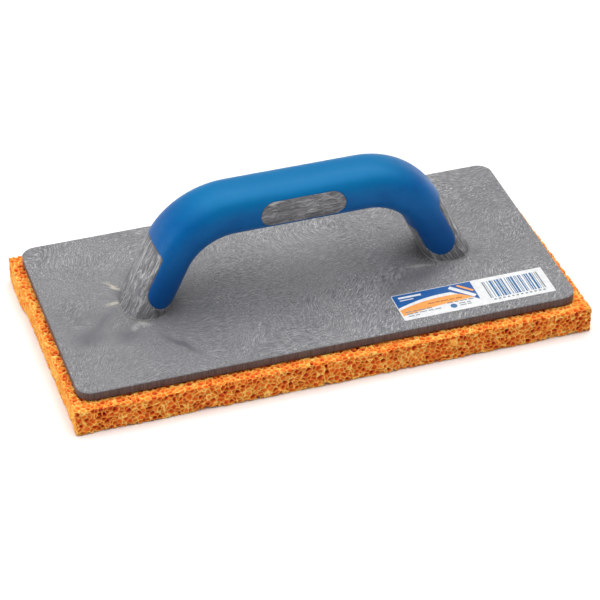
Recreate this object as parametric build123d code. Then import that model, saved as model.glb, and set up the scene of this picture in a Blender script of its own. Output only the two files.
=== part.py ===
from build123d import *
import os
from math import cos, pi, radians, sin, tan

# Grout float: a coarse sponge pad glued under a rigid plate, with a soft-grip bow handle.
# Millimetres, +Z up. The origin is the centre of the pad's working face, +X runs along
# the float's length, and the handle's bow stands in the XZ plane.

# Backing plate, a rigid foamed-plastic moulding
plate_length = 268.0
plate_width = 131.0
plate_thickness = 5.0
plate_corner_radius = 8.0
plate_edge_break = 0.4

# Sponge pad, cut larger than the plate all round
pad_overhang = 5.0
pad_thickness = 15.0
pad_corner_radius = 2.0

# Glue film between the pad and the plate
glue_thickness = 0.4
glue_inset = 1.5

# Handle bow: a bar between two legs that lean towards each other
foot_spacing = 166.0
leg_lean = 25.0
bar_height = 50.0
bend_radius = 38.0

# Handle sections: depth lies in the bow's plane, breadth across it, and only a narrow
# flat is left between the rounded corners
leg_depth = 22.6
leg_breadth = 32.6
bar_depth = 25.2
bar_breadth = 29.4
side_flat = 2.0

# Soft grip, moulded flush into the handle core. Its wrap ends part way down each leg and
# carries on as a round-ended tongue on the front and the back. Ends are measured up the
# leg's axis, and the outer one slopes up from the tongue to the leg's outer face. A window
# on each side of the bar leaves the core bare.
grip_thickness = 3.0
outer_wrap_end = 34.5
outer_wrap_slope = 28.0
inner_wrap_end = 27.8
tongue_width = 16.0
tongue_end = 6.6
tongue_shift = 1.4
tongue_root = 6.0
grip_corner_radius = 1.5
window_length = 46.0
window_height = 15.0
window_drop = 0.7

# Self-tapping pan-head screws, two up into each foot
screw_spacing = 15.0
screw_length = 16.0
thread_diameter = 4.2
thread_root_diameter = 3.0
thread_pitch = 1.6
screw_point_length = 2.4
head_diameter = 8.0
head_height = 2.6
head_edge_radius = 0.8
driver_cross_span = 4.4
driver_cross_width = 1.1
driver_cross_depth = 1.5
thread_clearance = 0.2
head_side_clearance = 0.3
head_sink_clearance = 0.2

# Printed label near the plate's front right corner
label_length = 84.2
label_width = 22.0
label_thickness = 0.15
label_corner_radius = 0.8
label_end_margin = 9.6
label_front_margin = 7.2

# Levels and places that follow from the sizes above
plate_bottom = pad_thickness + glue_thickness
plate_top = plate_bottom + plate_thickness
bar_axis = plate_top + bar_height
foot_x = foot_spacing / 2
lean = radians(leg_lean)
bend_turn = pi / 2 - lean
bend_start = bend_radius * tan(bend_turn / 2)
corner_x = foot_x - bar_height * tan(lean)
bar_end_x = corner_x - bend_start
leg_end = bar_height / cos(lean) - bend_start
screw_seat = plate_bottom + head_height + head_sink_clearance
screw_bite = screw_length - (plate_top - screw_seat)
screw_x = foot_x - screw_bite / 2 * tan(lean)


def leg_point(along, across):
    """Point in the bow's plane, measured up the right leg's axis and outward from it."""
    x = foot_x - along * sin(lean) + across * cos(lean)
    z = plate_top + along * cos(lean) + across * sin(lean)
    return (x, z)


def slab(length, width, bottom, thickness, corner_radius):
    """Flat slab centred over the origin, with its upright corners rounded."""
    outline = RectangleRounded(length, width, corner_radius)
    return extrude(Pos(0, 0, bottom) * outline, amount=thickness)


def prism(outline):
    """An outline in the bow's plane, drawn out past both sides of the handle."""
    return extrude(Plane.XZ * outline, amount=leg_breadth, both=True)


def sponge_pad():
    """Coarse open-cell pad that wets and wipes the joints."""
    length = plate_length + 2 * pad_overhang
    width = plate_width + 2 * pad_overhang
    return slab(length, width, 0, pad_thickness, pad_corner_radius)


def adhesive_layer():
    """Contact glue spread over nearly the whole underside of the plate."""
    length = plate_length - 2 * glue_inset
    width = plate_width - 2 * glue_inset
    return slab(length, width, pad_thickness, glue_thickness, plate_corner_radius - glue_inset)


def screw_places():
    """Centres of the four screws, level with the seats under their heads."""
    places = []
    for side in (-1, 1):
        for end in (-1, 1):
            places.append(Pos(side * screw_x, end * screw_spacing / 2, screw_seat))
    return places


def screw():
    """One screw, seated on the origin and pointing up."""
    root = thread_root_diameter / 2
    crest = thread_diameter / 2
    outline = [(0, 0), (root, 0)]
    for turn in range(int((screw_length - screw_point_length) / thread_pitch)):
        start = turn * thread_pitch
        outline.append((root, start + thread_pitch / 4))
        outline.append((crest, start + thread_pitch / 2))
        outline.append((root, start + thread_pitch * 3 / 4))
    outline.append((root, screw_length - screw_point_length))
    outline.append((0, screw_length))
    shank = revolve(make_face(Plane.XZ * Polyline(*outline, close=True)), Axis.Z)
    head = Pos(0, 0, -head_height / 2) * Cylinder(head_diameter / 2, head_height)
    head = fillet(head.edges().sort_by(Axis.Z)[0], head_edge_radius)
    cross = Box(driver_cross_span, driver_cross_width, 2 * driver_cross_depth)
    cross += Box(driver_cross_width, driver_cross_span, 2 * driver_cross_depth)
    return head + shank - Pos(0, 0, -head_height) * cross


def handle_screws():
    """The four screws that hold the handle, as separate solids of one set."""
    one = screw()
    return [place * one for place in screw_places()]


def backing_plate():
    """Rigid plate with a clearance hole and a sunk head recess for each screw, from below."""
    plate = slab(plate_length, plate_width, plate_bottom, plate_thickness, plate_corner_radius)
    faces = plate.faces().sort_by(Axis.Z)
    plate = chamfer(faces[0].edges() + faces[-1].edges(), plate_edge_break)
    hole_radius = thread_diameter / 2 + thread_clearance
    recess_radius = head_diameter / 2 + head_side_clearance
    for place in screw_places():
        plate -= place * Cylinder(hole_radius, 2 * plate_thickness)
        recess = Cylinder(recess_radius, plate_thickness, align=(Align.CENTER, Align.CENTER, Align.MAX))
        plate -= place * recess
    return plate


def section(depth, breadth, skin):
    """Handle section taken in by a skin thickness; its breadth lies along local X."""
    corner_radius = (depth - side_flat) / 2 - skin
    return RectangleRounded(breadth - 2 * skin, depth - 2 * skin, corner_radius)


def bow(skin):
    """The whole handle, cut off level with the plate and taken in by a skin thickness."""
    leg_x, leg_z = leg_point(leg_end, 0)
    middle_turn = lean + bend_turn / 2
    bend_z = bar_axis - bend_radius
    bend_middle = (bar_end_x + bend_radius * cos(middle_turn), 0, bend_z + bend_radius * sin(middle_turn))
    leg_plane = Plane(origin=(leg_x, 0, leg_z), x_dir=(0, 1, 0), z_dir=(-sin(lean), 0, cos(lean)))
    bar_plane = Plane(origin=(bar_end_x, 0, bar_axis), x_dir=(0, 1, 0), z_dir=(-1, 0, 0))
    leg_section = leg_plane * section(leg_depth, leg_breadth, skin)
    bar_section = bar_plane * section(bar_depth, bar_breadth, skin)
    leg = extrude(leg_section, amount=-leg_end - leg_depth)
    bend_path = ThreePointArc(leg_plane.origin, bend_middle, bar_plane.origin)
    bend = sweep(sections=[leg_section, bar_section], path=bend_path, multisection=True)
    bar = extrude(bar_section, amount=2 * bar_end_x)
    whole = leg + bend + bar + mirror(leg + bend, about=Plane.YZ)
    above = Box(2 * foot_spacing, 2 * leg_breadth, 2 * bar_height, align=(Align.CENTER, Align.CENTER, Align.MIN))
    return whole & Pos(0, 0, plate_top) * above


def wrap_outline():
    """Part of the bow that the grip wraps all round, seen square to the bow."""
    notch = tongue_width / 2 - tongue_shift
    slope_rise = (leg_depth - notch) * tan(radians(outer_wrap_slope))
    right = [
        leg_point(inner_wrap_end, -leg_depth),
        leg_point(inner_wrap_end, -tongue_shift),
        leg_point(outer_wrap_end, -tongue_shift),
        leg_point(outer_wrap_end, notch),
        leg_point(outer_wrap_end + slope_rise, leg_depth),
        (foot_x + leg_depth, bar_axis + bar_depth),
    ]
    left = [(-x, z) for x, z in reversed(right)]
    return make_face(Polyline(*(right + left), close=True))


def tongue_outline(wrap):
    """Both tongues below the wrap, with a small radius where each leaves it."""
    half = tongue_width / 2
    reach = outer_wrap_end - tongue_end
    middle = leg_point(tongue_end + reach / 2 + half / 2, -tongue_shift)
    tongue = Pos(*middle) * Rot(0, 0, 90 + leg_lean) * SlotCenterToCenter(reach - half, tongue_width)
    covered = wrap + tongue + mirror(tongue, about=Plane.YZ)
    for across, along in ((half, outer_wrap_end), (-half, inner_wrap_end)):
        x, z = leg_point(along, across - tongue_shift)
        for side in (-1, 1):
            notch = covered.vertices().sort_by_distance((side * x, z, 0))[0]
            covered = fillet(notch, grip_corner_radius)
    return covered - wrap


def grip_region():
    """Everything that the grip may fill: the wrap less its windows, and the tongues."""
    wrap = wrap_outline()
    window = Pos(0, bar_axis - window_drop) * SlotOverall(window_length, window_height)
    between_tongues = Box(2 * foot_spacing, 2 * tongue_root, 4 * bar_axis)
    tongues = prism(tongue_outline(wrap)) - between_tongues
    return prism(wrap) - prism(window) + tongues


def label():
    """Printed sticker on the plate, square to its edges."""
    x = plate_length / 2 - label_end_margin - label_length / 2
    y = label_front_margin + label_width / 2 - plate_width / 2
    return Pos(x, y, 0) * slab(label_length, label_width, plate_top, label_thickness, label_corner_radius)


def build():
    """Every piece by its node name."""
    screws = handle_screws()
    whole_handle = bow(0)
    grip = (whole_handle - bow(grip_thickness)) & grip_region()
    core = whole_handle - grip
    for one in screws:
        core -= one
    return {
        "sponge_pad": sponge_pad(),
        "adhesive_layer": adhesive_layer(),
        "backing_plate": backing_plate(),
        "handle_core": core,
        "soft_grip": grip,
        "handle_screws": Compound(children=screws),
        "label": label(),
    }


os.makedirs("parts", exist_ok=True)
for node, piece in build().items():
    export_step(piece, "parts/" + node + ".step")
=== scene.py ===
import math

import bpy
import numpy as np
from mathutils import Euler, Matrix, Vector, geometry


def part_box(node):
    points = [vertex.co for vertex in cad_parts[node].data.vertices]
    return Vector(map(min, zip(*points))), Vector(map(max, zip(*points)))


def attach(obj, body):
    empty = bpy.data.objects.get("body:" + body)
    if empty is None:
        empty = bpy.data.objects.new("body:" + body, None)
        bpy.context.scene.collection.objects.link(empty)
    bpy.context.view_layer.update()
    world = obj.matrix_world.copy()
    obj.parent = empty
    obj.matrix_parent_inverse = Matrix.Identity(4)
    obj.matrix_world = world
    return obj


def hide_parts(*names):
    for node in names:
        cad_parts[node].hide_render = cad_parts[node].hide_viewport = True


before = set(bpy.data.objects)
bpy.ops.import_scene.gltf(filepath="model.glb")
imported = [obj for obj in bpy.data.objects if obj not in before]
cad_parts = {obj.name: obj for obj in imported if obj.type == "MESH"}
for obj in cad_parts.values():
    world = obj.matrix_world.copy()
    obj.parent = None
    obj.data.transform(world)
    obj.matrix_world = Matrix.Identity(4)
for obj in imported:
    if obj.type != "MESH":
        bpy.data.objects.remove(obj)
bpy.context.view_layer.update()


# ---------------------------------------------------------------------------------------
# Sponge pad: a block of coarse open-cell foam rubber, sawn from a larger bun, so every
# face cuts across the bubbles. The saw wanders a little and the lower edges are nibbled.
# It is glued up under the plate and stands proud of it all round.

# Lengths here and below are in millimetres, unless a comment says otherwise
MM = 0.001
sponge_pitch = 0.34
sponge_faces_kept = 330000
sponge_corner = 0.9
sponge_slip = (0.6, -1.6)
back_right_taper = 2.6
back_left_flare = 1.6

# Shares of the pad's length and width between which the back left flare grows
flare_start = 0.3
flare_band = (0.22, 0.34)
cell_size = 2.6
cell_jitter = 0.8
cell_warp = 0.7
cell_tilt = (0.62, 0.41, 0.53)
cell_size_spread = 0.14
cell_warp_length = 19.0
cells_per_batch = 60000
strut_half = 0.08
strut_shoulder = 0.27
pit_least = 0.6
pit_least_spread = 0.8
pit_deepest = 3.0
pit_share_least = 0.3
pit_share_spread = 0.7
saw_wander = 0.45
saw_wave = 42.0
saw_chatter = 11.0
saw_chatter_share = 0.6
nibble_depth = 0.9
nibble_length = 13.0
nibble_reach = 5.0
nibble_lift = 0.6
hidden_margin = 6.0
hidden_fade = (-2.5, -0.5)
blotch_size = 9
grit_size = 0.7
bubble_size = 0.55

sponge_low, sponge_high = (np.array(corner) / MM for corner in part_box("sponge_pad"))
plate_low, plate_high = (np.array(corner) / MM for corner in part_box("backing_plate"))


def linear(hex_colour):
    """A #rrggbb colour as the linear RGBA that shaders work in."""
    values = [int(hex_colour[i:i + 2], 16) / 255 for i in (1, 3, 5)]
    return [v / 12.92 if v <= 0.04045 else ((v + 0.055) / 1.055) ** 2.4 for v in values] + [1.0]


def smooth(low, high, value):
    """0 up to low, 1 from high on, and an S-curve between. Low may be the larger of the two."""
    share = np.clip((value - low) / (high - low), 0, 1)
    return share * share * (3 - 2 * share)


def ripple(points, wavelength, seed):
    """Smooth wandering value from -1 to 1 over space, made of a few crossing sines."""
    draw = np.random.default_rng(seed)
    total = np.zeros(len(points))
    for _ in range(6):
        direction = draw.normal(size=3)
        direction /= np.linalg.norm(direction)
        length = wavelength * draw.uniform(0.7, 1.6)
        total += np.sin(points @ direction * (2 * math.pi / length) + draw.uniform(0, 2 * math.pi))
    return total / 6


def mesh_piece(name, points_mm, faces, layers=()):
    """A smooth-shaded mesh object from points in millimetres, with point layers of values."""
    mesh = bpy.data.meshes.new(name)
    mesh.from_pydata((np.asarray(points_mm) * MM).tolist(), [], faces)
    mesh.polygons.foreach_set("use_smooth", [True] * len(mesh.polygons))
    for layer_name, kind, values in layers:
        layer = mesh.attributes.new(layer_name, kind, "POINT")
        layer.data.foreach_set("vector" if kind == "FLOAT_VECTOR" else "value",
                               np.asarray(values, np.float32).ravel())
    mesh.update()
    made = bpy.data.objects.new(name, mesh)
    bpy.context.scene.collection.objects.link(made)
    return made


def settle(piece):
    """Applies a piece's modifiers to its mesh."""
    graph = bpy.context.evaluated_depsgraph_get()
    shaped = bpy.data.meshes.new_from_object(piece.evaluated_get(graph))
    piece.modifiers.clear()
    piece.data = shaped


def empty_material(name):
    """A material with no nodes in it yet."""
    made = bpy.data.materials.new(name)
    made.use_nodes = True
    made.node_tree.nodes.clear()
    return made


def node(material, kind, inputs=(), **settings):
    """Adds a shader node with its settings. Each input gets a value, a node or a node's output."""
    made = material.node_tree.nodes.new("ShaderNode" + kind)
    stops = settings.pop("stops", ())
    for name, value in settings.items():
        setattr(made, name, value)
    for index, (place, colour) in enumerate(stops):
        elements = made.color_ramp.elements
        element = elements[index] if index < 2 else elements.new(place)
        element.position = place
        element.color = linear(colour)
    for socket, value in dict(inputs).items():
        if isinstance(value, bpy.types.Node):
            value = value.outputs[0]
        if isinstance(value, bpy.types.NodeSocket):
            material.node_tree.links.new(value, made.inputs[socket])
        else:
            made.inputs[socket].default_value = value
    return made


def block_lattice(size, pitch, keep_top):
    """Points and quads over a block. On top, one large face fills the quads that keep_top refuses."""
    counts = [max(2, int(round(s / pitch))) for s in size]
    xs, ys, zs = (np.linspace(-0.5, 0.5, n + 1) * s for n, s in zip(counts, size))
    nx, ny, nz = counts
    grid_x, grid_y = np.meshgrid(xs, ys, indexing="ij")
    flat = (nx + 1) * (ny + 1)
    bottom = np.arange(flat).reshape(nx + 1, ny + 1)
    top = bottom + flat
    ring_i = np.concatenate([np.arange(nx), np.full(ny, nx), np.arange(nx, 0, -1), np.zeros(ny, int)])
    ring_j = np.concatenate([np.zeros(nx, int), np.arange(ny), np.full(nx, ny), np.arange(ny, 0, -1)])
    around = len(ring_i)
    side = np.zeros((nz + 1, around), int)
    side[0] = bottom[ring_i, ring_j]
    side[nz] = top[ring_i, ring_j]
    side[1:nz] = 2 * flat + np.arange((nz - 1) * around).reshape(nz - 1, around)
    points = np.zeros((2 * flat + (nz - 1) * around, 3))
    points[:flat] = np.stack([grid_x.ravel(), grid_y.ravel(), np.full(flat, zs[0])], 1)
    points[flat:2 * flat] = np.stack([grid_x.ravel(), grid_y.ravel(), np.full(flat, zs[-1])], 1)
    rows = np.repeat(zs[1:nz], around)
    points[2 * flat:] = np.stack([np.tile(xs[ring_i], nz - 1), np.tile(ys[ring_j], nz - 1), rows], 1)
    under = np.stack([bottom[:-1, :-1], bottom[:-1, 1:], bottom[1:, 1:], bottom[1:, :-1]], -1)
    over = np.stack([top[:-1, :-1], top[1:, :-1], top[1:, 1:], top[:-1, 1:]], -1).reshape(-1, 4)
    kept = keep_top(points[over].mean(1))
    after = np.roll(side, -1, axis=1)
    walls = np.stack([side[:-1], after[:-1], after[1:], side[1:]], -1)
    hidden = ~kept.reshape(nx, ny)
    i_span, j_span = np.where(hidden.any(1))[0], np.where(hidden.any(0))[0]
    i0, i1, j0, j1 = i_span[0], i_span[-1] + 1, j_span[0], j_span[-1] + 1
    rim = [*top[i0:i1, j0], *top[i1, j0:j1], *top[i1:i0:-1, j1], *top[i0, j1:j0:-1]]
    quads = np.concatenate([under.reshape(-1, 4), over[kept], walls.reshape(-1, 4)])
    used, quads = np.unique(quads, return_inverse=True)
    rim = np.searchsorted(used, rim)
    return points[used], quads.reshape(-1, 4).tolist() + [rim.tolist()]


def foam_cells(points, inward):
    """How near each point is to a cell wall, how far in the next wall lies, and the cell's luck."""
    draw = np.random.default_rng(11)
    warp = np.stack([ripple(points, cell_warp_length, seed) for seed in (21, 22, 23)], 1)
    tilt = np.array(Euler(cell_tilt).to_matrix())
    place = (points + warp * cell_warp) @ tilt / cell_size
    inward = inward @ tilt
    base = np.floor(place.min(0)).astype(int) - 2
    shape = np.floor(place.max(0)).astype(int) - base + 3
    seeds = draw.uniform(0.5 - cell_jitter / 2, 0.5 + cell_jitter / 2, (*shape, 3))
    weights = draw.uniform(0, cell_size_spread, tuple(shape))
    luck = draw.uniform(0, 1, tuple(shape))
    steps = np.array([(i, j, k) for i in (-1, 0, 1) for j in (-1, 0, 1) for k in (-1, 0, 1)])
    wall, way, chance = (np.zeros(len(points)) for _ in range(3))
    for start in range(0, len(points), cells_per_batch):
        part = slice(start, start + cells_per_batch)
        here = place[part]
        near = (np.floor(here).astype(int) - base)[:, None] + steps[None]
        at = (near[..., 0], near[..., 1], near[..., 2])
        centre = seeds[at] + near + base
        reach = ((here[:, None] - centre) ** 2).sum(-1) - weights[at]
        rows = np.arange(len(here))
        own = reach.argmin(1)
        across = centre - centre[rows, own][:, None]
        gap = reach - reach[rows, own][:, None]
        span = np.linalg.norm(across, axis=-1)
        span[rows, own] = 1
        gap[rows, own] = 9
        wall[part] = (gap / (2 * span)).min(1) * cell_size
        along = np.einsum("nkc,nc->nk", across, inward[part])
        along[along < 1e-3] = 1e-3
        way[part] = (gap / (2 * along)).min(1) * cell_size
        chance[part] = luck[at][rows, own]
    return wall, way, chance


def sponge_block():
    """The sawn block, with each cell that the plate doesn't cover sunk as a pit between thin struts."""
    size = sponge_high - sponge_low
    cover = (plate_high - plate_low)[:2] / 2 - hidden_margin
    points, faces = block_lattice(size, sponge_pitch, lambda centres: (abs(centres[:, :2]) > cover).any(1))
    core = np.clip(points, -size / 2 + sponge_corner, size / 2 - sponge_corner)
    out = points - core
    out /= np.linalg.norm(out, axis=1)[:, None]
    points = core + out * sponge_corner
    wall, way, chance = foam_cells(points, -out)
    deepest = pit_deepest * (pit_share_least + pit_share_spread * chance)
    pit = np.clip(way, pit_least + pit_least_spread * chance, deepest)
    pit *= smooth(strut_half, strut_half + strut_shoulder, wall)
    inside = (cover - abs(points[:, :2])).min(1)
    pit *= 1 - smooth(*hidden_fade, inside) * (points[:, 2] > 0)
    level = np.stack([out[:, 0], out[:, 1], 0 * out[:, 0]], 1)
    sawn = ripple(points, saw_wave, 31) * saw_wander
    sawn = sawn + ripple(points, saw_chatter, 32) * saw_wander * saw_chatter_share
    lower = smooth(size[2] * 0.1, -size[2] / 2, points[:, 2])
    nibble = smooth(0.05, 0.75, ripple(points, nibble_length, 33)) * lower * nibble_depth
    shaped = points - out * pit[:, None] + level * (sawn - nibble)[:, None]
    edge_lift = smooth(nibble_reach, 0.0, size[1] / 2 - abs(points[:, 1])) * nibble * nibble_lift
    shaped[:, 2] += size[2] / 2 + np.where(points[:, 2] < 0, edge_lift, 0)
    taper = smooth(0, size[0] / 2, points[:, 0]) * smooth(-size[1] / 2, size[1] / 2, points[:, 1])
    flare = smooth(-size[0] * flare_start, -size[0] / 2, points[:, 0])
    flare = flare * smooth(size[1] * flare_band[0], size[1] * flare_band[1], points[:, 1])
    shaped[:, 0] += sponge_slip[0] - back_right_taper * taper - back_left_flare * flare
    shaped[:, 1] += sponge_slip[1]
    shaped[:, 2] = np.maximum(shaped[:, 2], 0.0)
    return mesh_piece("sponge_foam", shaped, faces,
                      [("pit", "FLOAT", pit / pit_deepest), ("cell", "FLOAT", chance)])


def foam_rubber():
    """Open-cell foam rubber, sawn: pale strut tops over deep orange cells, with hardly any gloss.
    The colour darkens with the cells' depth, a painted shade in the pits, and the strut tops are
    paled, a painted highlight. Grit and tiny bubbles break up the light. Real grit and
    bubbles are finer than 0.3 mm, and are drawn about twice that size so that they show.
    """
    made = empty_material("foam_rubber_sawn")
    where = node(made, "TexCoord").outputs["Object"]
    pit = node(made, "Attribute", attribute_name="pit").outputs["Fac"]
    cell = node(made, "Attribute", attribute_name="cell").outputs["Fac"]
    blotch = node(made, "TexNoise", {"Vector": where, "Scale": 1 / (blotch_size * MM), "Detail": 2.0})
    grit = node(made, "TexNoise", {"Vector": where, "Scale": 1 / (grit_size * MM), "Detail": 3.0})
    bubbles = node(made, "TexVoronoi", {"Vector": where, "Scale": 1 / (bubble_size * MM)})
    shift = node(made, "Math", {0: cell, 1: 0.16, 2: -0.14}, operation="MULTIPLY_ADD")
    shift = node(made, "Math", {0: blotch, 1: 0.14, 2: shift}, operation="MULTIPLY_ADD")
    depth = node(made, "Math", {0: pit, 1: shift}, operation="ADD")
    # The ramp darkens as the pits deepen, a painted shade, and pales the strut tops, a painted highlight
    colour = node(made, "ValToRGB", {"Fac": depth}, stops=[
        (0.0, "#FFCF70"), (0.06, "#FFB44E"), (0.16, "#FF9C3C"),
        (0.36, "#FA7628"), (0.6, "#CC3E1A"), (1.0, "#6A0F0C")])
    dust = node(made, "ValToRGB", {"Fac": grit}, stops=[(0.3, "#ECE6DA"), (0.7, "#FFFFFF")])
    tinted = node(made, "MixRGB", {"Fac": 1.0, "Color1": colour, "Color2": dust}, blend_type="MULTIPLY")
    relief = node(made, "Math", {0: bubbles, 1: 0.5, 2: grit}, operation="MULTIPLY_ADD")
    bump = node(made, "Bump", {"Strength": 0.5, "Distance": 0.25 * MM, "Height": relief})
    rough = node(made, "MapRange", {"Value": grit, "To Min": 0.68, "To Max": 0.9})
    surface = node(made, "BsdfPrincipled", {
        "Base Color": tinted, "Roughness": rough.outputs[0], "Normal": bump, "IOR": 1.45,
        "Specular IOR Level": 0.3, "Subsurface Weight": 0.12, "Subsurface Scale": 0.9 * MM,
        "Subsurface Radius": (1.0, 0.45, 0.12)})
    node(made, "OutputMaterial", {"Surface": surface})
    return made


sponge = sponge_block()
thin = sponge.modifiers.new("thin_out", "DECIMATE")
thin.ratio = sponge_faces_kept / (2 * len(sponge.data.polygons))
settle(sponge)
for corner in sponge.data.vertices:
    corner.co.z = max(corner.co.z, 0.0)
sponge.data.materials.append(foam_rubber())
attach(sponge, "root")
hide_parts("sponge_pad")


# ---------------------------------------------------------------------------------------
# Glue film: amber contact cement, brushed over the underside of the plate and pressed on to
# the foam, so it shows at most as a thin uneven line between the two.

brush_drag = (14, 1.5, 2)


def contact_cement():
    """Contact cement, brushed and dried: a glossy amber skin with brush drag in it."""
    made = empty_material("contact_cement_brushed")
    where = node(made, "TexCoord").outputs["Object"]
    brush_marks = tuple(1 / (reach * MM) for reach in brush_drag)
    dragged = node(made, "Mapping", {"Vector": where, "Scale": brush_marks})
    drag = node(made, "TexNoise", {"Vector": dragged, "Scale": 1.0, "Detail": 3.0})
    colour = node(made, "ValToRGB", {"Fac": drag}, stops=[(0.3, "#8A5A22"), (0.7, "#C08A3C")])
    rough = node(made, "MapRange", {"Value": drag, "To Min": 0.25, "To Max": 0.5})
    bump = node(made, "Bump", {"Strength": 0.4, "Distance": 0.1 * MM, "Height": drag})
    surface = node(made, "BsdfPrincipled", {
        "Base Color": colour, "Roughness": rough.outputs[0], "Normal": bump, "IOR": 1.5})
    node(made, "OutputMaterial", {"Surface": surface})
    return made


def refinish(cad_node, material):
    """Gives a CAD node one material all over."""
    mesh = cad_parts[cad_node].data
    mesh.materials.clear()
    mesh.materials.append(material)


refinish("adhesive_layer", contact_cement())


# ---------------------------------------------------------------------------------------
# Backing plate: structural foamed polystyrene, injected through a gate under each foot.
# Gas bubbles smear along the melt's flow and leave silver streaks: fanned out round the
# feet, and swept lengthwise in between. The edge faces are darker, with fine upright marks.

foot_x = 83.0
fan_reach = 38.0
fan_spokes = 42.0
streak_length = 3.6
streak_width = 0.6
swirl_size = 48
swirl_reach = 46.0
region_size = 60
cloud_size = 26
speck_size = 0.7
mark_wander = 5.0
mark_wander_size = 7
edge_mark_width = 0.7
edge_mark_height = 6

# Stains, pale wisps and two broad patches of painted light: centre, reach along and across,
# turn in degrees, colour and strength. The first darkens the whole left end, a painted shade,
# and the second pales the middle between the legs, a painted pool of light.
plate_marks_and_painted_light = [
    (-95, -20, 90, 60, 0, "#68686B", 0.45), (10, 10, 70, 50, 0, "#A6A4A2", 0.3),
    (-118, -22, 12, 8, 10, "#505056", 0.65), (-109, -12, 15, 4, 45, "#55555B", 0.6),
    (-98, -26, 9, 8, 0, "#505056", 0.65), (-93, 9.5, 4, 4, 0, "#444448", 0.6),
    (-94.5, 17, 7, 1.8, -55, "#D0C7B0", 0.6), (-97.5, 3.4, 5.5, 1.7, 20, "#CEC6B2", 0.55),
    (-87.5, -18.5, 5, 2.2, -40, "#C0BEBA", 0.45), (-93, -21, 4.5, 1.8, 60, "#B8B6B2", 0.4),
    (-74, -41, 15, 2.0, -56, "#48484E", 0.75), (52, -27, 17, 9, 15, "#5A5A60", 0.5),
    (64, -22, 12, 5, 10, "#505056", 0.45), (44, -33, 9, 5, 40, "#58585E", 0.45),
    (64, -15, 10, 1.3, -5, "#BCBAB6", 0.55), (97, -12, 6, 3, 40, "#56565C", 0.4)]


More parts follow.
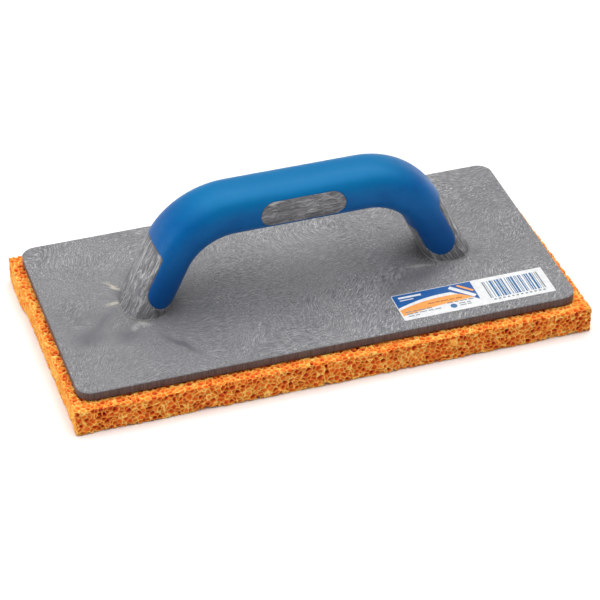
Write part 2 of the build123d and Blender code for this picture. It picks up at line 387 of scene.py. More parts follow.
def foamed_polystyrene():
    """Foamed polystyrene, injection moulded: a matt grey skin full of short silver flow streaks."""
    made = empty_material("foamed_polystyrene_moulded")
    coords = node(made, "TexCoord")
    where = node(made, "VectorMath", {0: coords.outputs["Object"], 3: 1 / MM}, operation="SCALE")
    swirl = node(made, "TexNoise", {
        "Vector": where, "Scale": 1 / swirl_size, "Detail": 1.0}).outputs["Color"]
    swirl = node(made, "VectorMath", {0: swirl, 1: (0.5, 0.5, 0.5)}, operation="SUBTRACT")
    swirl = node(made, "VectorMath", {0: swirl, 3: swirl_reach}, operation="SCALE")
    flow = node(made, "VectorMath", {0: where, 1: swirl}, operation="ADD")
    grain = (1 / streak_length, 1 / streak_width, 1 / streak_width)
    streaks = []
    for turn in (0.12, -0.95):
        turned = node(made, "Mapping", {"Vector": flow, "Rotation": (0, 0, turn)})
        drawn = node(made, "VectorMath", {0: turned, 1: grain}, operation="MULTIPLY")
        streaks.append(node(made, "TexNoise", {
            "Vector": drawn, "Scale": 1.0, "Detail": 3.0, "Distortion": 0.6}))
    parts = node(made, "SeparateXYZ", {0: where})
    off_x = node(made, "Math", {0: parts.outputs[0]}, operation="ABSOLUTE")
    off_x = node(made, "Math", {0: off_x, 1: foot_x}, operation="SUBTRACT")
    from_foot = node(made, "CombineXYZ", {0: off_x, 1: parts.outputs[1]})
    radius = node(made, "VectorMath", {0: from_foot}, operation="LENGTH").outputs["Value"]
    bearing = node(made, "VectorMath", {0: from_foot}, operation="NORMALIZE")
    bent = node(made, "VectorMath", {0: swirl, 3: 0.02}, operation="SCALE")
    bearing = node(made, "VectorMath", {0: bearing, 1: bent}, operation="ADD")
    bearing = node(made, "VectorMath", {0: bearing, 3: fan_spokes}, operation="SCALE")
    outward = node(made, "Math", {0: radius, 1: 1 / streak_length}, operation="MULTIPLY")
    outward = node(made, "CombineXYZ", {2: outward})
    fanned = node(made, "VectorMath", {0: bearing, 1: outward}, operation="ADD")
    fan = node(made, "TexNoise", {"Vector": fanned, "Scale": 1.0, "Detail": 3.0, "Distortion": 0.5})
    patch = node(made, "TexNoise", {"Vector": where, "Scale": 1 / region_size, "Detail": 2.0})
    side_share = node(made, "MapRange", {"Value": patch, "From Min": 0.46, "From Max": 0.56})
    fan_share = node(made, "MapRange", {
        "Value": radius, "From Min": fan_reach, "From Max": fan_reach * 0.45, "To Max": 0.75})
    streak = node(made, "MixRGB", {
        "Fac": side_share.outputs[0], "Color1": streaks[0], "Color2": streaks[1]})
    streak = node(made, "MixRGB", {"Fac": fan_share.outputs[0], "Color1": streak, "Color2": fan})
    speck = node(made, "TexNoise", {"Vector": where, "Scale": 1 / speck_size, "Detail": 2.0})
    value = node(made, "MixRGB", {"Fac": 0.3, "Color1": streak, "Color2": speck})
    colour = node(made, "ValToRGB", {"Fac": value}, stops=[
        (0.34, "#58585C"), (0.45, "#747477"), (0.53, "#838385"), (0.6, "#A09F9F"), (0.68, "#D2D0CC")])
    cloud = node(made, "TexNoise", {"Vector": where, "Scale": 1 / cloud_size, "Detail": 3.0})
    cloud = node(made, "ValToRGB", {"Fac": cloud}, stops=[(0.3, "#E6E6E7"), (0.7, "#FFFFFF")])
    colour = node(made, "MixRGB", {"Fac": 1.0, "Color1": colour, "Color2": cloud}, blend_type="MULTIPLY")
    wander = node(made, "TexNoise", {
        "Vector": where, "Scale": 1 / mark_wander_size, "Detail": 2.0}).outputs["Color"]
    wander = node(made, "VectorMath", {0: wander, 1: (0.5, 0.5, 0.5)}, operation="SUBTRACT")
    wander = node(made, "VectorMath", {0: wander, 3: mark_wander}, operation="SCALE")
    near = node(made, "VectorMath", {0: where, 1: wander}, operation="ADD")
    ragged = node(made, "MapRange", {
        "Value": value, "From Min": 0.35, "From Max": 0.65, "To Min": 0.45, "To Max": -0.45})
    # The first two marks are painted shade and painted light, the rest are stains and wisps
    for x, y, reach_x, reach_y, turn, shade, strength in plate_marks_and_painted_light:
        away = node(made, "Mapping", {
            "Vector": near, "Location": (x, y, 0), "Rotation": (0, 0, math.radians(turn)),
            "Scale": (reach_x, reach_y, 1e4)}, vector_type="TEXTURE")
        away = node(made, "VectorMath", {0: away}, operation="LENGTH").outputs["Value"]
        away = node(made, "Math", {0: away, 1: ragged.outputs[0]}, operation="ADD")
        share = node(made, "MapRange", {
            "Value": away, "From Min": 1.1, "From Max": 0.1, "To Max": strength})
        colour = node(made, "MixRGB", {
            "Fac": share.outputs[0], "Color1": colour, "Color2": linear(shade)})
    facing = node(made, "SeparateXYZ", {0: coords.outputs["Normal"]}).outputs[2]
    edge_share = node(made, "MapRange", {"Value": facing, "From Min": 0.75, "From Max": 0.35})
    upright = (1 / edge_mark_width, 1 / edge_mark_width, 1 / edge_mark_height)
    tall = node(made, "VectorMath", {0: where, 1: upright}, operation="MULTIPLY")
    scratch = node(made, "TexNoise", {"Vector": tall, "Scale": 1.0, "Detail": 2.0})
    cut_edge = node(made, "ValToRGB", {"Fac": scratch}, stops=[(0.3, "#3A3031"), (0.7, "#5C4E4E")])
    colour = node(made, "MixRGB", {"Fac": edge_share.outputs[0], "Color1": colour, "Color2": cut_edge})
    rough = node(made, "MapRange", {
        "Value": value, "From Min": 0.3, "From Max": 0.7, "To Min": 0.62, "To Max": 0.42})
    bump = node(made, "Bump", {"Strength": 0.35, "Distance": 0.12 * MM, "Height": value})
    surface = node(made, "BsdfPrincipled", {
        "Base Color": colour, "Roughness": rough.outputs[0], "Normal": bump, "IOR": 1.59,
        "Specular IOR Level": 0.4})
    node(made, "OutputMaterial", {"Surface": surface})
    return made


polystyrene = foamed_polystyrene()
refinish("backing_plate", polystyrene)


# ---------------------------------------------------------------------------------------
# Screws: four zinc-plated self-tappers driven up into the feet from under the plate, before
# the sponge is glued on. None of them shows.

spangle_size = 1.2


def zinc_plate():
    """Bright zinc plating on steel: cool grey metal with a cloudy spangle."""
    made = empty_material("steel_zinc_plated")
    where = node(made, "TexCoord").outputs["Object"]
    spangle = node(made, "TexVoronoi", {"Vector": where, "Scale": 1 / (spangle_size * MM)})
    colour = node(made, "ValToRGB", {"Fac": spangle}, stops=[(0.1, "#AEB2B4"), (0.8, "#CDD0D2")])
    rough = node(made, "MapRange", {"Value": spangle, "To Min": 0.25, "To Max": 0.4})
    bump = node(made, "Bump", {"Strength": 0.2, "Distance": 0.02 * MM, "Height": spangle})
    surface = node(made, "BsdfPrincipled", {
        "Base Color": colour, "Metallic": 1.0, "Roughness": rough.outputs[0], "Normal": bump})
    node(made, "OutputMaterial", {"Surface": surface})
    return made


refinish("handle_screws", zinc_plate())


# ---------------------------------------------------------------------------------------
# Handle core: one bow of the same foamed plastic, from a split mould that closes on the
# centre line, where a thin flash is left. Melt runs up the legs and leaves long fibrous
# streaks. A recess 3 mm deep takes the grip, and each foot sits in a small squeezed bead.

plate_top = plate_high[2]
grip_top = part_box("soft_grip")[1][2] / MM
lean = math.radians(25)

# Half the depth and half the breadth, of a leg and of the bar
leg_half = (11.3, 16.3)
bar_half = (12.6, 14.7)
section_power = 2.5
section_samples = 1441
even_start = 1.6
bend_radius = 38.0
bar_axis = grip_top - bar_half[0]
bend_start = bend_radius * math.tan((math.pi / 2 - lean) / 2)
bar_end_x = foot_x - (bar_axis - plate_top) * math.tan(lean) - bend_start
leg_end = (bar_axis - plate_top) / math.cos(lean) - bend_start
round_steps = 110
path_step = 0.8
recess_depth = 3.0
seam_half = 0.55
seam_depth = 0.28
flash_height = 0.2
flash_half = 0.3
bead_height = 0.9
bead_fall = 0.8
skin_wave = 0.12

# The grip's outline on the bow, in the same sizes as the recess that it fills
outer_wrap_end = 34.5
outer_wrap_slope = math.tan(math.radians(28))
inner_wrap_end = 27.8
tongue_half = 8.4
tongue_end = 6.6
tongue_shift = 1.0
notch_blend = 1.6
window_half = (23.0, 7.5)
window_drop = 0.7
cut_clearance = 0.03

# Streaks on the core: width and length of fine and coarse fibres, and how far they bend
fibre_sizes = ((0.8, 11.0), (2.2, 16.0))
fibre_bend = 9.0
fibre_bend_size = 14
# Height and size of a mottled darkening of the core near the plate
foot_dark_height = 7
foot_mottle_size = 5

# Heights in metres between which the core is painted darker towards the bar, a painted shade
core_painted_shade_heights = (0.045, 0.062)


def section_points(half_depth, half_breadth):
    """Soft oblong section from the outer centre line on, as across, sideways and both outward shares."""
    turn = np.linspace(0, 2 * math.pi, section_samples)
    power = 2 / section_power
    across = half_depth * np.sign(np.cos(turn)) * abs(np.cos(turn)) ** power
    aside = half_breadth * np.sign(np.sin(turn)) * abs(np.sin(turn)) ** power
    length = np.concatenate([[0], np.cumsum(np.hypot(np.diff(across), np.diff(aside)))])
    whole = length[-1]
    fine = np.array([0.22, 0.5, 0.9])
    even = np.linspace(even_start, whole / 2 - even_start, round_steps // 2)
    half = np.concatenate([[0], fine, even, whole / 2 - fine[::-1]])
    spots = np.concatenate([half, half + whole / 2])
    a, y = np.interp(spots, length, across), np.interp(spots, length, aside)
    slope_a = abs(a / half_depth) ** (section_power - 1) * np.sign(a) / half_depth
    slope_y = abs(y / half_breadth) ** (section_power - 1) * np.sign(y) / half_breadth
    size = np.hypot(slope_a, slope_y)
    return a, y, slope_a / size, slope_y / size


def bow_table():
    """The bow ring by ring: rows of point, outward, across and path length, then the quads and end caps."""
    tables, path = [], 0.0
    foot_fine = np.array([0, 0.012, 0.03, 0.06, 0.1])
    leg_share = np.concatenate([foot_fine, np.linspace(0.14, 1, int(leg_end / path_step))])
    turns = np.linspace(lean, math.pi / 2, int(bend_radius * (math.pi / 2 - lean) / path_step))
    bar = np.linspace(bar_end_x, 0, int(bar_end_x / path_step))
    stations = [("leg", share) for share in leg_share] + [("bend", turn) for turn in turns[1:]]
    stations += [("bar", x) for x in bar[1:]]
    for kind, where in stations:
        turn, size = {"leg": (lean, 0.0), "bend": (where, (where - lean) / (math.pi / 2 - lean)),
                      "bar": (math.pi / 2, 1.0)}[kind]
        size = size * size * (3 - 2 * size)
        halves = [low + (high - low) * size for low, high in zip(leg_half, bar_half)]
        a, y, out_a, out_y = section_points(*halves)
        if kind == "leg":
            start = -a * math.tan(lean)
            along = start + (leg_end - start) * where
            middle_x, middle_z = foot_x - along * math.sin(lean), plate_top + along * math.cos(lean)
            path = along
        else:
            middle_x = where if kind == "bar" else bar_end_x + bend_radius * math.cos(turn)
            middle_z = bar_axis - bend_radius + bend_radius * math.sin(turn)
            gone = bend_radius * (turn - lean) + (bar_end_x - where if kind == "bar" else 0)
            path = leg_end + gone
        flat = np.zeros_like(a)
        tables.append(np.stack([
            middle_x + a * math.cos(turn), y, middle_z + a * math.sin(turn),
            out_a * math.cos(turn), out_y, out_a * math.sin(turn), a, path + flat], 1))
    mirrored = [table * [-1, 1, 1, -1, 1, 1, 1, -1] + [0, 0, 0, 0, 0, 0, 0, 2 * tables[-1][0, 7]]
                for table in tables[-2::-1]]
    rings = tables + mirrored
    around = len(rings[0])
    first = np.arange(around)
    after = np.roll(first, -1)
    quads = [np.stack([first, after, after + around, first + around], 1) + ring * around
             for ring in range(len(rings) - 1)]
    caps = [first[::-1].tolist(), (first + (len(rings) - 1) * around).tolist()]
    return np.concatenate(rings), np.concatenate(quads).tolist(), caps


def grip_reach(rows):
    """How far inside the grip's outline each point is, in millimetres: below zero it is bare core."""
    x, z = abs(rows[:, 0]), rows[:, 2]
    off_x, off_z = x - foot_x, z - plate_top
    along = -off_x * math.sin(lean) + off_z * math.cos(lean)
    across = off_x * math.cos(lean) + off_z * math.sin(lean)
    slope = np.maximum(across - tongue_half + tongue_shift, 0) * outer_wrap_slope
    wrap = along - np.where(across < -tongue_shift, inner_wrap_end, outer_wrap_end + slope)
    below = np.maximum(tongue_end + tongue_half - along, 0)
    tongue = tongue_half - np.hypot(across + tongue_shift, below)
    share = np.clip(0.5 + 0.5 * (wrap - tongue) / notch_blend, 0, 1)
    covered = tongue + (wrap - tongue) * share + notch_blend * share * (1 - share)
    past = np.maximum(x - window_half[0] + window_half[1], 0)
    window = window_half[1] - np.hypot(past, z - bar_axis + window_drop)
    return np.minimum(covered, -window)


def cut_along(rows, faces, level):
    """Splits faces along the line where the last column of the rows crosses a level."""
    rows, seen, made = list(rows), {}, []
    for row in rows:
        if abs(row[-1] - level) < cut_clearance:
            row[-1] = level + math.copysign(cut_clearance, row[-1] - level)
    for face in faces:
        above = [rows[corner][-1] > level for corner in face]
        if all(above) or not any(above):
            made.append(face)
            continue
        parts = ([], [])
        for index, corner in enumerate(face):
            after = (index + 1) % len(face)
            parts[above[index]].append(corner)
            if above[index] != above[after]:
                key = (min(corner, face[after]), max(corner, face[after]))
                if key not in seen:
                    start, end = rows[key[0]], rows[key[1]]
                    seen[key] = len(rows)
                    rows.append(start + (end - start) * (level - start[-1]) / (end[-1] - start[-1]))
                parts[0].append(seen[key])
                parts[1].append(seen[key])
        made += [part for part in parts if len(part) > 2]
    return np.array(rows), made


def compact(points, faces, *columns):
    """Keeps only the points that the faces use."""
    used = sorted({corner for face in faces for corner in face})
    place = {corner: index for index, corner in enumerate(used)}
    return points[used], [[place[corner] for corner in face] for face in faces], [c[used] for c in columns]


def seam_edges(faces):
    """The directed border edges of a set of faces."""
    edges = {(a, b) for face in faces for a, b in zip(face, face[1:] + face[:1])}
    return [(a, b) for a, b in edges if (b, a) not in edges]


def handle_pieces():
    """The core and the grip, as closed meshes that meet in a shallow seam."""
    rows, quads, caps = bow_table()
    rows = np.column_stack([rows, grip_reach(rows)])
    for level in (0.0, -seam_half, -seam_half / 2, seam_half / 2, seam_half):
        rows, quads = cut_along(rows, quads, level)
    point, out, across, path, reach = rows[:, :3], rows[:, 3:6], rows[:, 6], rows[:, 7], rows[:, 8]
    off_seam = 1 - np.clip(abs(reach) / seam_half, 0, 1)
    height = point[:, 2] - plate_top
    aside = point[:, 1]
    bare = smooth(-0.2, -1.0, reach)
    flash = flash_height * np.exp(-(aside / flash_half) ** 2) * (0.6 + 0.4 * ripple(point, 6.0, 41)) * bare
    bead = bead_height * np.exp(-height / bead_fall) * (0.75 + 0.35 * ripple(point, 7.0, 42))
    wave = skin_wave * ripple(point, 9.0, 43) * smooth(0.0, 3.0, height)
    lifted = flash + bead + wave * bare - seam_depth * off_seam ** 1.5
    skin = point + out * lifted[:, None]
    skin[:, 2] = np.where(height < 1e-6, plate_top, skin[:, 2])
    floor = point - out * recess_depth
    count = len(rows)
    both = np.concatenate([skin, floor])
    grip_faces = [face for face in quads if sum(reach[corner] for corner in face) > 0]
    core_faces = [face for face in quads if sum(reach[corner] for corner in face) <= 0]
    grain = np.tile(np.stack([across, aside, path], 1), (2, 1))
    seam = np.tile(reach, 2)
    border = seam_edges(grip_faces)
    sunk = [[corner + count for corner in face] for face in grip_faces]
    grip_walls = [[a, a + count, b + count, b] for a, b in border]
    grip_all = grip_faces + [face[::-1] for face in sunk] + grip_walls
    core_all = core_faces + sunk + [wall[::-1] for wall in grip_walls] + caps
    pieces = []
    for name, faces in (("handle_bow", core_all), ("grip_wrap", grip_all)):
        points, kept, (grains, seams) = compact(both, faces, grain, seam)
        layers = [("grain", "FLOAT_VECTOR", grains), ("seam", "FLOAT", seams)]
        pieces.append(mesh_piece(name, points, kept, layers))
    return pieces


def foamed_polystyrene_legs():
    """The same foamed polystyrene drawn up the legs: long silvery fibres in a darker grey skin."""
    made = empty_material("foamed_polystyrene_drawn")
    grain = node(made, "Attribute", attribute_name="grain").outputs["Vector"]
    where = node(made, "TexCoord").outputs["Object"]
    bend = node(made, "TexNoise", {
        "Vector": grain, "Scale": 1 / fibre_bend_size, "Detail": 2.0}).outputs["Color"]
    bend = node(made, "VectorMath", {0: bend, 1: (0.5, 0.5, 0.5)}, operation="SUBTRACT")
    bend = node(made, "VectorMath", {0: bend, 3: fibre_bend}, operation="SCALE")
    flow = node(made, "VectorMath", {0: grain, 1: bend}, operation="ADD")
    fibres = []
    for width, length in fibre_sizes:
        fineness = (1 / width, 1 / width, 1 / length)
        drawn = node(made, "VectorMath", {0: flow, 1: fineness}, operation="MULTIPLY")
        fibres.append(node(made, "TexNoise", {
            "Vector": drawn, "Scale": 1.0, "Detail": 3.0, "Distortion": 0.8}))
    value = node(made, "MixRGB", {"Fac": 0.4, "Color1": fibres[0], "Color2": fibres[1]})
    colour = node(made, "ValToRGB", {"Fac": value}, stops=[
        (0.36, "#46464A"), (0.46, "#646468"), (0.54, "#7F7F82"), (0.62, "#A9A8A9"), (0.72, "#DAD8D4")])
    height = node(made, "SeparateXYZ", {0: where}).outputs[2]
    low = node(made, "MapRange", {
        "Value": height, "From Min": (plate_top + foot_dark_height) * MM, "From Max": plate_top * MM})
    # Darker and mottled within a few millimetres of the plate; the bead pales through the same mottle
    foot_mottle = node(made, "TexNoise", {"Vector": where, "Scale": 1 / (foot_mottle_size * MM), "Detail": 2.0})
    foot_mottle = node(made, "Math", {0: low.outputs[0], 1: foot_mottle}, operation="MULTIPLY")
    colour = node(made, "MixRGB", {"Fac": foot_mottle, "Color1": colour, "Color2": linear("#4A4A4E")})
    # Painted shade: the core is darkened towards the bar
    bottom, top = core_painted_shade_heights
    high = node(made, "MapRange", {"Value": height, "From Min": bottom, "From Max": top, "To Max": 0.3})
    colour = node(made, "MixRGB", {"Fac": high.outputs[0], "Color1": colour, "Color2": linear("#3E3E42")})
    aside = node(made, "SeparateXYZ", {0: grain}).outputs[1]
    aside = node(made, "Math", {0: aside}, operation="ABSOLUTE")
    flash = node(made, "MapRange", {"Value": aside, "From Min": 0.6, "From Max": 0.1, "To Max": 0.5})
    colour = node(made, "MixRGB", {"Fac": flash.outputs[0], "Color1": colour, "Color2": linear("#CFCDC9")})
    bead = node(made, "MapRange", {
        "Value": height, "From Min": (plate_top + bead_height) * MM, "From Max": plate_top * MM})
    bead = node(made, "Math", {0: bead.outputs[0], 1: foot_mottle}, operation="MULTIPLY")
    colour = node(made, "MixRGB", {"Fac": bead, "Color1": colour, "Color2": linear("#D2D0CC")})
    seam = node(made, "Attribute", attribute_name="seam").outputs["Fac"]
    grime = node(made, "MapRange", {"Value": seam, "From Min": -0.6, "From Max": -0.1, "To Max": 0.18})
    colour = node(made, "MixRGB", {"Fac": grime.outputs[0], "Color1": colour, "Color2": linear("#5C5048")})
    rough = node(made, "MapRange", {
        "Value": value, "From Min": 0.3, "From Max": 0.7, "To Min": 0.55, "To Max": 0.36})
    bump = node(made, "Bump", {"Strength": 0.4, "Distance": 0.15 * MM, "Height": value})
    surface = node(made, "BsdfPrincipled", {
        "Base Color": colour, "Roughness": rough.outputs[0], "Normal": bump, "IOR": 1.59,
        "Specular IOR Level": 0.45})
    node(made, "OutputMaterial", {"Surface": surface})
    return made


handle_bow, grip_wrap = handle_pieces()
handle_bow.data.materials.append(foamed_polystyrene_legs())
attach(handle_bow, "root")
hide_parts("handle_core")


# ---------------------------------------------------------------------------------------
# Soft grip: blue thermoplastic rubber moulded over the core, flush with it, in one closed
# skin 3 mm thick. The mould's spark finish leaves it satin. Its mesh is made with the core's.

spark_size = 0.8
smear_size = 5
mottle_size = 16

# Heights in metres between which the rubber is painted paler to the crown, a painted highlight,
# and painted deeper down the legs, a painted shade
painted_highlight_heights = (0.071, 0.081)
painted_shade_heights = (0.067, 0.04)


def spark_finished_rubber():
    """Thermoplastic rubber from a spark-finished mould: satin blue with a broad soft highlight.
    Its colour is painted paler on the crown, a painted highlight, and deeper down the legs, a
    painted shade. Real spark pits are about 0.1 mm across and are drawn 0.8 mm across, so that
    they show.
    """
    made = empty_material("thermoplastic_rubber_satin")
    where = node(made, "TexCoord").outputs["Object"]
    spark = node(made, "TexNoise", {"Vector": where, "Scale": 1 / (spark_size * MM), "Detail": 3.0})
    cloud = node(made, "TexNoise", {"Vector": where, "Scale": 1 / (mottle_size * MM), "Detail": 3.0})
    smear = node(made, "TexNoise", {
        "Vector": where, "Scale": 1 / (smear_size * MM), "Detail": 4.0, "Distortion": 1.2})
    mixed = node(made, "MixRGB", {"Fac": 0.4, "Color1": cloud, "Color2": smear})
    colour = node(made, "ValToRGB", {"Fac": mixed}, stops=[
        (0.3, "#004C8A"), (0.55, "#005694"), (0.75, "#005D9B")])
    height = node(made, "SeparateXYZ", {0: where}).outputs[2]
    # Painted highlight: paler towards the crown
    painted_crown_light = node(made, "MapRange", {
        "Value": height, "From Min": painted_highlight_heights[0], "From Max": painted_highlight_heights[1], "To Max": 0.8})
    colour = node(made, "MixRGB", {"Fac": painted_crown_light.outputs[0], "Color1": colour, "Color2": linear("#066FA2")})
    # Painted shade: deeper down the legs
    low = node(made, "MapRange", {
        "Value": height, "From Min": painted_shade_heights[0], "From Max": painted_shade_heights[1], "To Max": 0.62})
    colour = node(made, "MixRGB", {"Fac": low.outputs[0], "Color1": colour, "Color2": linear("#073A7C")})
    seam = node(made, "Attribute", attribute_name="seam").outputs["Fac"]
    grime = node(made, "MapRange", {"Value": seam, "From Min": 0.6, "From Max": 0.1, "To Max": 0.25})
    colour = node(made, "MixRGB", {"Fac": grime.outputs[0], "Color1": colour, "Color2": linear("#0A3F74")})
    rough = node(made, "MapRange", {
        "Value": mixed, "From Min": 0.3, "From Max": 0.7, "To Min": 0.5, "To Max": 0.38})
    relief = node(made, "Math", {0: smear, 1: 0.6, 2: spark}, operation="MULTIPLY_ADD")
    bump = node(made, "Bump", {"Strength": 0.45, "Distance": 0.1 * MM, "Height": relief})
    surface = node(made, "BsdfPrincipled", {
        "Base Color": colour, "Roughness": rough.outputs[0], "Normal": bump, "IOR": 1.52,
        "Specular IOR Level": 0.4, "Specular Tint": linear("#7FC4FF")})
    node(made, "OutputMaterial", {"Surface": surface})
    return made


grip_wrap.data.materials.append(spark_finished_rubber())
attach(grip_wrap, "root")
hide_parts("soft_grip")


# ---------------------------------------------------------------------------------------
# Label: white polypropylene film, printed in blue, orange and grey with plain shapes and a
# bar code, die cut with round corners and stuck flat on the plate near its front edge.

label_low, label_high = (np.array(corner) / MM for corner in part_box("label"))
film_white, ink_blue, ink_orange, ink_grey = "#E2E2E2", "#12579A", "#F0A050", "#7F868C"
ink_brown, ink_bar, ink_spot = "#A8683A", "#2A6594", "#3C6E9C"
film_corner = 0.8
uneven_size = 3
scuff_size = 0.6
bars_left, bars_width = 49.3, 31.2
bars_top, bars_bottom = 3.0, 17.6
guard_bars = 4
digits_left, digit_step, digit_width, digit_line = 50.6, 2.5, 1.3, 19.0

# Invented bar code that stands for nothing: widths of bar, gap, bar and so on, in units
bar_rule = (2, 1, 1, 3, 1, 2, 3, 1, 1, 2, 2, 1, 3, 1, 1, 1, 2, 3, 1, 2, 1, 1, 2, 1,
            3, 2, 1, 1, 1, 2, 2, 1, 1, 3, 1, 1, 2, 1, 2, 2, 3, 1, 1, 2, 1, 1, 2)

# Lines of dashes that stand for text: left end, right limit and distance from the back edge
word_widths = (3.4, 2.2, 4.1, 2.8, 3.6, 2.0, 4.4, 3.0)
word_gap, word_height, digit_height = 0.7, 0.8, 1.1
text_lines = ((2.6, 19, 15.6), (2.8, 24, 17.4), (3.0, 14, 19.2), (16.5, 38, 11.9),
              (26, 41, 14.6), (32, 41, 16.6), (32, 39, 18.2))


def oblong(left, top, right, bottom, corner, steps=6):
    """Outline of a rectangle with round corners."""
    outline = []
    for x, y, quarter in ((right, bottom, 0), (left, bottom, 1), (left, top, 2), (right, top, 3)):
        x += -corner if x == right else corner
        y += -corner if y == bottom else corner
        for step in range(steps + 1):
            turn = (quarter + step / steps) * math.pi / 2
            outline.append((x + corner * math.cos(turn), y + corner * math.sin(turn)))
    return outline


def stripe(start, end, width):
    """Outline of a straight band between two points."""
    a, b = Vector(start), Vector(end)
    side = (b - a).orthogonal().normalized() * width / 2
    return [tuple(a + side), tuple(b + side), tuple(b - side), tuple(a - side)]


def curve(*knots):
    """A smooth line of points through three knots."""
    (x0, y0), (x1, y1), (x2, y2) = knots
    line = []
    for x in np.linspace(x0, x2, 15):
        y = (y0 * (x - x1) * (x - x2) / ((x0 - x1) * (x0 - x2))
             + y1 * (x - x0) * (x - x2) / ((x1 - x0) * (x1 - x2))
             + y2 * (x - x0) * (x - x1) / ((x2 - x0) * (x2 - x1)))
        line.append((float(x), float(y)))
    return line


def print_shapes():
    """Every printed shape with its ink, in printing order, in millimetres from the back left corner.
    Dashes stand for words and digits: nothing on the label can be read.
    """
    blue_field = [(0.35, 0.35), (44.0, 0.35), (43.9, 16.3), (37.0, 10.6)]
    blue_hem = curve((0.35, 11.4), (16, 6.9), (31, 6.0))[::-1]
    orange_top = curve((0.5, 13.2), (18, 8.9), (35, 8.8)) + [(41.5, 13.5)]
    orange_hem = curve((0.9, 18.3), (17, 15.6), (41, 13.6))[::-1]
    shapes = [
        (ink_blue, blue_field + blue_hem),
        (ink_orange, orange_top + orange_hem),
        (film_white, stripe((3.2, 3.0), (15.6, 3.0), 1.5)),
        (film_white, stripe((3.2, 5.3), (10.8, 5.3), 0.7)),
        (film_white, stripe((31.6, 2.2), (42.6, 12.8), 2.5)),
        (ink_orange, stripe((36.2, 1.7), (43.0, 8.2), 1.5)),
        (ink_spot, oblong(26.8, 15.9, 30.4, 19.5, 1.79)),
    ]
    for left, right, high in text_lines:
        ink = ink_brown if high < 12 else ink_grey
        x = left
        for word in word_widths:
            if x + word > right:
                break
            shapes.append((ink, stripe((x, high), (x + word, high), word_height)))
            x += word + word_gap
    x, unit = bars_left, bars_width / sum(bar_rule)
    for index, wide in enumerate(bar_rule):
        if index % 2 == 0:
            ink = ink_bar if guard_bars - 1 < index < len(bar_rule) - guard_bars else ink_grey
            middle = x + wide * unit / 2
            shapes.append((ink, stripe((middle, bars_top), (middle, bars_bottom), wide * unit)))
        x += wide * unit
    for step in range(12):
        left = digits_left + step * digit_step
        right = left + digit_width
        shapes.append((ink_grey, stripe((left, digit_line), (right, digit_line), digit_height)))
    return shapes


def label_film():
    """A closed film whose top is divided along every printed outline."""
    long, wide = (label_high - label_low)[:2]
    shapes = [(film_white, oblong(0, 0, long, wide, film_corner))] + print_shapes()
    corners, loops = [], []
    for _, outline in shapes:
        turning = sum(a[0] * b[1] - a[1] * b[0] for a, b in zip(outline, outline[1:] + outline[:1]))
        outline = outline if turning > 0 else outline[::-1]
        loops.append(list(range(len(corners), len(corners) + len(outline))))
        corners += [Vector(spot) for spot in outline]
    spots, _, faces, _, _, owners = geometry.delaunay_2d_cdt(corners, [], loops, 1, 1e-4)
    count = len(spots)
    points = [(label_low[0] + spot[0], label_high[1] - spot[1], label_high[2]) for spot in spots]
    points += [(x, y, label_low[2] + 0.01) for x, y, _ in points]
    top = [list(face)[::-1] for face in faces]
    rim = seam_edges(top)
    under = [[corner + count for corner in face[::-1]] for face in top]
    walls = [[b, a, a + count, b + count] for a, b in rim]
    made = mesh_piece("label_film", points, top + under + walls)
    inks = [shapes[max(owner)][0] if owner else film_white for owner in owners]
    inks += [film_white] * (len(under) + len(walls))
    layer = made.data.attributes.new("ink", "FLOAT_COLOR", "CORNER")
    values = [linear(inks[polygon.index]) for polygon in made.data.polygons for _ in polygon.loop_indices]
    layer.data.foreach_set("color", np.asarray(values, np.float32).ravel())
    made.data.polygons.foreach_set("use_smooth", [False] * len(made.data.polygons))
    return made


def printed_film():
    """Polypropylene film, screen printed: bright, half glossy, with faint scuffs and uneven ink."""
    made = empty_material("polypropylene_film_printed")
    where = node(made, "TexCoord").outputs["Object"]
    ink = node(made, "Attribute", attribute_name="ink").outputs["Color"]
    uneven = node(made, "TexNoise", {"Vector": where, "Scale": 1 / (uneven_size * MM), "Detail": 4.0})
    shade = node(made, "ValToRGB", {"Fac": uneven}, stops=[(0.3, "#EEEEEF"), (0.65, "#FFFFFF")])
    colour = node(made, "MixRGB", {"Fac": 1.0, "Color1": ink, "Color2": shade}, blend_type="MULTIPLY")
    scuff = node(made, "TexNoise", {"Vector": where, "Scale": 1 / (scuff_size * MM), "Detail": 2.0})
    rough = node(made, "MapRange", {"Value": scuff, "To Min": 0.28, "To Max": 0.5})
    bump = node(made, "Bump", {"Strength": 0.15, "Distance": 0.05 * MM, "Height": uneven})
    surface = node(made, "BsdfPrincipled", {
        "Base Color": colour, "Roughness": rough.outputs[0], "Normal": bump, "IOR": 1.49})
    node(made, "OutputMaterial", {"Surface": surface})
    return made


film = label_film()
film.data.materials.append(printed_film())
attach(film, "root")
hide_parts("label")


# ---------------------------------------------------------------------------------------
# Studio: a pale matt floor, a wide soft sun overhead, a soft light from the left, a weak one
# from the front, walls that are brighter near the floor, and the camera.

floor_half = 4000.0
lens_length = 152
sensor_width = 36

# The camera's place, what it looks at and its nearest distance, in metres
camera_place = (-0.3358, -1.0288, 0.8067)
camera_target = (-0.00544, -0.02418, 0.0204)
nearest_seen = 0.05

# Soft lights: name, place and size in metres, and power
lights = [
    ("left", (-1.25, 0.0, 0.35), 0.8, 6.0),
    ("front", (0.35, -1.35, 0.8), 0.9, 0.3)]
overhead_place = (0.15, 0.15, 1.3)
overhead_angle = 75
overhead_power = 3.4
lit_point = (0, 0, 0.02)

# The walls fade between two elevations, from their brightness near the floor to that above
wall_rise = (0.14, 0.3)
wall_glow = (0.65, 0.2)


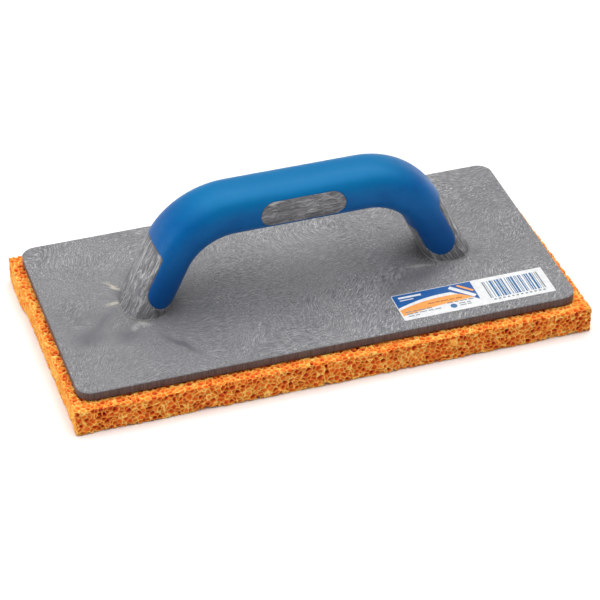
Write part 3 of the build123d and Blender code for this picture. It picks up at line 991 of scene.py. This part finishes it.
def look_from(made, place, target):
    """Puts a light or camera at a place, aimed at a target."""
    made.location = place
    made.rotation_euler = (Vector(target) - Vector(place)).to_track_quat("-Z", "Y").to_euler()
    bpy.context.scene.collection.objects.link(made)


def painted_board():
    """Painted board: matt white with a barely visible mottling."""
    made = empty_material("painted_board_matt")
    where = node(made, "TexCoord").outputs["Object"]
    mottle = node(made, "TexNoise", {"Vector": where, "Scale": 12.0, "Detail": 3.0})
    colour = node(made, "ValToRGB", {"Fac": mottle}, stops=[(0.3, "#F4F4F4"), (0.7, "#F8F8F8")])
    surface = node(made, "BsdfPrincipled", {
        "Base Color": colour, "Roughness": 0.9, "Specular IOR Level": 0.1})
    node(made, "OutputMaterial", {"Surface": surface})
    return made


studio_floor = mesh_piece("studio_floor", [
    (-floor_half, -floor_half, 0), (floor_half, -floor_half, 0),
    (floor_half, floor_half, 0), (-floor_half, floor_half, 0)], [[0, 1, 2, 3]])
studio_floor.data.materials.append(painted_board())

for name, place, size, power in lights:
    lamp = bpy.data.lights.new("soft_light_" + name, "AREA")
    lamp.size = size
    lamp.energy = power
    look_from(bpy.data.objects.new(lamp.name, lamp), place, lit_point)

overhead = bpy.data.lights.new("soft_light_above", "SUN")
overhead.angle = math.radians(overhead_angle)
overhead.energy = overhead_power
look_from(bpy.data.objects.new(overhead.name, overhead), overhead_place, lit_point)

world = bpy.data.worlds.new("studio_world")
world.use_nodes = True
world.node_tree.nodes.clear()
toward = node(world, "TexCoord").outputs["Generated"]
rise = node(world, "SeparateXYZ", {0: toward}).outputs[2]
wall_share = node(world, "MapRange", {
    "Value": rise, "From Min": wall_rise[0], "From Max": wall_rise[1],
    "To Min": wall_glow[0], "To Max": wall_glow[1]})
backdrop = node(world, "Background", {"Color": (1.0, 1.0, 1.0, 1.0), "Strength": wall_share.outputs[0]})
node(world, "OutputWorld", {"Surface": backdrop})
bpy.context.scene.world = world
bpy.context.scene.view_settings.view_transform = "Standard"

lens = bpy.data.cameras.new("camera")
lens.lens = lens_length
lens.sensor_width = sensor_width
lens.clip_start = nearest_seen
camera = bpy.data.objects.new("camera", lens)
look_from(camera, camera_place, camera_target)
bpy.context.scene.camera = camera
